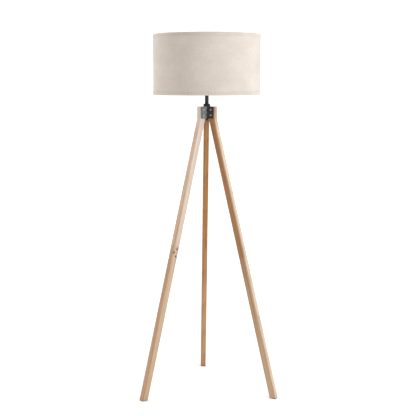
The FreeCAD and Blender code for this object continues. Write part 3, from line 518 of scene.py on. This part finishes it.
def shade():
    cloth = shade_cloth()
    # The hem's linen is a slightly darker copy of the cloth's, which paints in part of the shade
    # of the rolled edge.
    hem_cloth = woven("shade_hem_linen", (229, 217, 206), (188, 174, 163), 0.10)
    top = hem("shade_hem_upper", "shade_top_hem", SHADE_TOP, -1, 0.4)
    bottom = hem("shade_hem_lower", "shade_bottom_hem", SHADE_BOTTOM, 1, 2.3)
    for band in (top, bottom):
        set_material(band, hem_cloth)
    set_material(NODES["shade_liner"], styrene("shade_styrene"))
    enamel = moulded("white_enamel", srgb(214, 212, 206), 0.3)
    for node in ("shade_spider", "shade_top_ring"):
        set_material(NODES[node], enamel)


# ---- the stand ----

# Each bar's tones at its lower end, at its upper end and on its outer face: 0 is pale sapwood
# and 1 is red-brown heartwood. These are partly the bars' own tones and partly painted light and
# shade, pale where the light falls and dark where shade falls; the outer-face tone is painted
# light and shade alone.
BAR_TONES_AND_PAINTED_LIGHT = {"upper_leg_left": (0.12, 0.0, 0.58), "lower_leg_left": (0.56, 0.30, 0.76),
             "upper_leg_right": (0.92, 0.98, 0.38), "lower_leg_right": (0.48, 0.86, 0.34),
             "upper_leg_back": (1.0, 1.0, 0.95), "lower_leg_back": (0.84, 0.97, 0.85)}


def stand():
    for number, (leg, (lower_tone, upper_tone, painted_face_tone)) in enumerate(BAR_TONES_AND_PAINTED_LIGHT.items()):
        side = leg.split("_")[-1]
        grain = wood(f"{leg}_wood", LEG_AZIMUTHS[side], math.degrees(LEG_LEAN), 1.7 * number + 0.6,
                     (lower_tone, upper_tone), painted_face_tone, (low(leg)[2], high(leg)[2]))
        set_material(NODES[leg], grain)
    black = satin_black("bracket_powder_coat")
    pole_black = satin_black("pole_powder_coat", 12, 0.50, 0.0)
    for node in ("bracket_plate_front", "bracket_plate_right", "bracket_plate_left", "hub_tube",
                 "hub_washer", "hub_nut"):
        set_material(NODES[node], black)
    for node in ("pole", "pole_collar"):
        set_material(NODES[node], pole_black)
    steel = metal("bracket_screw_steel", srgb(180, 178, 174), 0.52)
    dark_steel = satin_black("lap_screw_black_oxide", 14, 0.55, 0.0)
    brown_felt = felt("foot_felt_brown")
    for side in LEG_AZIMUTHS:
        set_material(NODES[f"bracket_screws_{side}"], steel)
        set_material(NODES[f"sleeve_nuts_{side}"], steel)
        set_material(NODES[f"lap_screws_{side}"], dark_steel)
        set_material(NODES[f"lap_inserts_{side}"], dark_steel)
        set_material(NODES[f"foot_pad_{side}"], brown_felt)


def lampholder_and_bulb():
    black = moulded("holder_black_plastic", srgb(34, 34, 35), 0.38)
    for node in ("cord_bush", "holder_cap", "holder_skirt", "shade_clamp_ring", "bulb_insulator"):
        set_material(NODES[node], black)
    zinc = metal("zinc_tube", srgb(190, 190, 184), 0.35, (900, 900, 1800))
    for node in ("hub_nipple", "holder_nipple"):
        set_material(NODES[node], zinc)
    brass = metal("bare_brass", srgb(206, 170, 104), 0.3)
    for node in ("holder_terminals", "screw_shell", "centre_contact"):
        set_material(NODES[node], brass)
    set_material(NODES["holder_base"], moulded("porcelain", srgb(232, 228, 220), 0.15))
    nickel = metal("bulb_cap_nickel", srgb(200, 200, 198), 0.25)
    for node in ("bulb_cap", "bulb_contact"):
        set_material(NODES[node], nickel)
    set_material(NODES["bulb_glass"], opal_glass("bulb_opal"))


# ---- camera, light and floor ----

CAMERA_DISTANCE = 3.95
CAMERA_HEIGHT = 1.320
CAMERA_TURN = 3.16
CAMERA_PITCH = 7.63
FOCAL_SHARE = 934 / 416
AXIS_SHIFT = 0.0029


def camera():
    lens = bpy.data.cameras.new("camera")
    lens.sensor_width = 36
    lens.lens = FOCAL_SHARE * lens.sensor_width
    lens.shift_x = AXIS_SHIFT
    made = bpy.data.objects.new("camera", lens)
    turn = math.radians(CAMERA_TURN)
    made.location = (-CAMERA_DISTANCE * math.sin(turn), -CAMERA_DISTANCE * math.cos(turn),
                     CAMERA_HEIGHT)
    made.rotation_euler = (math.radians(90 - CAMERA_PITCH), 0, -turn)
    bpy.context.scene.collection.objects.link(made)
    bpy.context.scene.camera = made


def softbox(name, azimuth, distance, height, width, tall, power, aim_height=0.9,
            tint=(1.0, 1.0, 1.0)):
    """A rectangular light that stands at an azimuth about the lamp and faces its axis."""
    light = bpy.data.lights.new(name, "AREA")
    light.shape = "RECTANGLE"
    light.size = width
    light.size_y = tall
    light.energy = power
    light.color = tint
    made = bpy.data.objects.new(name, light)
    angle = math.radians(azimuth)
    made.location = (distance * math.cos(angle), distance * math.sin(angle), height)
    aim = Vector((0, 0, aim_height)) - made.location
    made.rotation_euler = aim.to_track_quat("-Z", "Y").to_euler()
    made.visible_camera = False
    bpy.context.scene.collection.objects.link(made)


def studio():
    softbox("key_right", 328, 3.0, 1.7, 1.2, 2.5, 48, tint=(0.89, 0.96, 1.0))
    softbox("rim_right", 33, 3.2, 1.9, 1.4, 2.4, 14)
    softbox("rim_left", 150, 3.0, 2.2, 2.4, 2.0, 38, aim_height=1.3)
    softbox("top", 285, 2.6, 3.8, 2.4, 1.6, 21)
    world = bpy.data.worlds.new("studio_white")
    world.use_nodes = True
    background = world.node_tree.nodes["Background"]
    background.inputs["Color"].default_value = (1.0, 0.95, 0.895, 1)
    background.inputs["Strength"].default_value = 0.375
    bpy.context.scene.world = world
    bpy.context.scene.view_settings.view_transform = "Standard"


FLOOR_RADIUS = 5.5
FLOOR_BEND = 2.5
WALL_TOP = 7.0
STAGE_STEPS = 96


def stage_paper():
    """White paper with a glow of its own, faint at the front and strongest at the back of the
    stage. The glow is painted light: no lamp stands behind the paper, and the glow also lights the
    floor lamp from around and below.
    """
    shader = Shader("studio_paper")
    place = shader.place()
    fine = shader.noise(place, 220.0, 3.0)
    base = shader.ramp(fine, (0.3, srgb(241, 241, 240)), (0.7, srgb(246, 246, 245)))
    depth = shader.node("ShaderNodeSeparateXYZ", {"Vector": place}).outputs["Y"]
    glow = shader.spread(depth, -3.0, 5.0, 0.08, 0.47)
    return shader.finish(shader.principled(Base_Color=base, Roughness=0.95,
                                           Emission_Color=(1, 1, 1, 1), Emission_Strength=glow))


def stage():
    """A round studio floor that curves up into a wall all around, far from the lamp."""
    profile = [(0.6, 0.0), (2.0, 0.0), (FLOOR_RADIUS, 0.0)]
    for step in range(1, 13):
        turn = math.pi / 2 * step / 12
        profile.append((FLOOR_RADIUS + FLOOR_BEND * math.sin(turn),
                        FLOOR_BEND * (1 - math.cos(turn))))
    profile.append((FLOOR_RADIUS + FLOOR_BEND, WALL_TOP))

    def build(shape):
        centre = shape.verts.new((0, 0, 0))
        rings = []
        for radius, height in profile:
            rings.append([shape.verts.new((radius * math.cos(2 * math.pi * step / STAGE_STEPS),
                                           radius * math.sin(2 * math.pi * step / STAGE_STEPS),
                                           height)) for step in range(STAGE_STEPS)])
        for step in range(STAGE_STEPS):
            beside = (step + 1) % STAGE_STEPS
            shape.faces.new((centre, rings[0][step], rings[0][beside]))
            for this, following in zip(rings, rings[1:]):
                shape.faces.new((this[step], following[step], following[beside], this[beside]))

    sheet = mesh_object("studio_floor", build)
    smooth(sheet)
    set_material(sheet, stage_paper())


camera()
shade()
stand()
lampholder_and_bulb()
studio()
stage()
